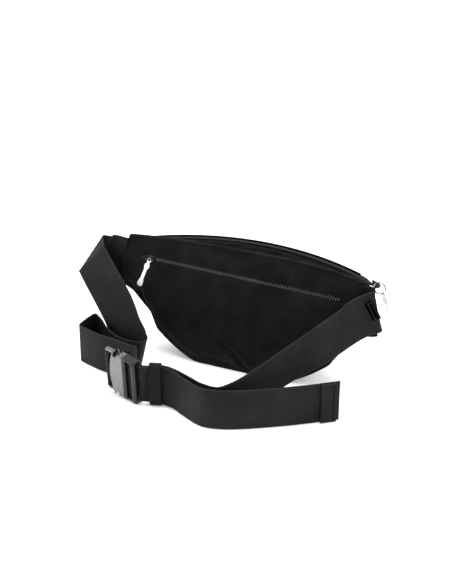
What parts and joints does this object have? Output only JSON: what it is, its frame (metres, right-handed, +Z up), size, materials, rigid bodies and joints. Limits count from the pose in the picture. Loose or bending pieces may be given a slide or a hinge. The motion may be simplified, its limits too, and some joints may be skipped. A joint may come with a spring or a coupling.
{
  "type": "waist pack",
  "caption": "Soft waist pack with a zipped main compartment and back pocket, on a wide adjustable webbing belt with a side-release buckle",
  "frame": {"origin": "middle of the footprint of bag and belt, on the surface that they stand on", "axes": "+X along the bag to its right-hand end seen from the wearer's side, +Z up, the wearer's side of the bag faces -Y"},
  "size_m": [0.4147, 0.229, 0.1546],
  "materials": {
    "bag_nylon": "black woven nylon with a faint sheen",
    "lining": "thin black polyester lining",
    "webbing": "black ribbed nylon webbing",
    "elastic": "black ribbed elastic",
    "zip_coil": "dark grey nylon coil on woven tape",
    "dark_metal": "black enamelled die-cast metal",
    "bright_metal": "bright silver metal",
    "buckle_gunmetal": "satin gunmetal on the socket's face and the buttons",
    "buckle_plastic": "black moulded acetal, glossy"
  },
  "bodies": {
    "bag": {"back_panel": "bag_nylon", "top_panel_rear": "bag_nylon", "front_panel": "bag_nylon", "bottom_panel": "bag_nylon", "wing_left": "bag_nylon", "wing_right": "bag_nylon", "back_pocket_lining": "lining", "back_zip_chain": "zip_coil", "main_zip_chain": "zip_coil", "strap_left": "webbing", "strap_right": "webbing", "buckle_socket": "buckle_gunmetal", "side_tab": "webbing"},
    "back_slider": {"back_zip_slider": "dark_metal"},
    "back_pull": {"back_zip_pull": "bright_metal"},
    "top_slider": {"main_zip_slider": "dark_metal"},
    "top_ring": {"main_zip_ring": "bright_metal"},
    "top_pull": {"main_zip_pull": "bright_metal"},
    "plug": {"buckle_plug": "buckle_plastic", "strap_adjusting_end": "webbing", "strap_hem": "webbing"},
    "latch_upper": {"prong_upper": "buckle_gunmetal"},
    "latch_lower": {"prong_lower": "buckle_gunmetal"},
    "keeper": {"strap_keeper": "elastic"}
  },
  "joints": [
    {"name": "back_zip_slide", "type": "slide", "parent": "bag", "child": "back_slider", "axis": [0.9996, -0.0024, -0.0273], "range_m": [0, 0.238]},
    {"name": "back_pull_swing", "type": "hinge", "parent": "back_slider", "child": "back_pull", "pos_m": [-0.107, 0.03279, 0.12509], "axis": [0, -0.9962, 0.0872], "range_deg": [-20, 60]},
    {"name": "main_zip_slide", "type": "hinge", "parent": "bag", "child": "top_slider", "pos_m": [0.019, -0.27597, 0.03336], "axis": [0, -0.3032, 0.9529], "range_deg": [0, 50.5], "deforming": ["main_zip_pull", "main_zip_ring"]},
    {"name": "main_ring_swing", "type": "hinge", "parent": "top_slider", "child": "top_ring", "pos_m": [0.18222, 0.04703, 0.1418], "axis": [-0.4321, -0.8594, -0.2734], "range_deg": [0, 60]},
    {"name": "main_pull_swing", "type": "hinge", "parent": "top_ring", "child": "top_pull", "pos_m": [0.19244, 0.04486, 0.13248], "axis": [0, -1, 0], "range_deg": [-5, 70]},
    {"name": "buckle_release", "type": "slide", "parent": "bag", "child": "plug", "axis": [0.9666, -0.241, -0.0872], "range_m": [0, 0.03], "deforming": ["prong_upper", "prong_lower"]},
    {"name": "latch_upper_press", "type": "hinge", "parent": "plug", "child": "latch_upper", "pos_m": [-0.06779, -0.10024, 0.05033], "axis": [-0.2513, -0.9579, -0.1386], "range_deg": [0, 14], "stiffness_Nm_per_rad": 0.12},
    {"name": "latch_lower_press", "type": "hinge", "parent": "plug", "child": "latch_lower", "pos_m": [-0.06959, -0.09463, 0.01482], "axis": [0.2513, 0.9579, 0.1386], "range_deg": [0, 14], "stiffness_Nm_per_rad": 0.12},
    {"name": "keeper_slide", "type": "slide", "parent": "plug", "child": "keeper", "axis": [0.9379, 0.3469, 0], "range_m": [0, 0.004]}
  ]
}
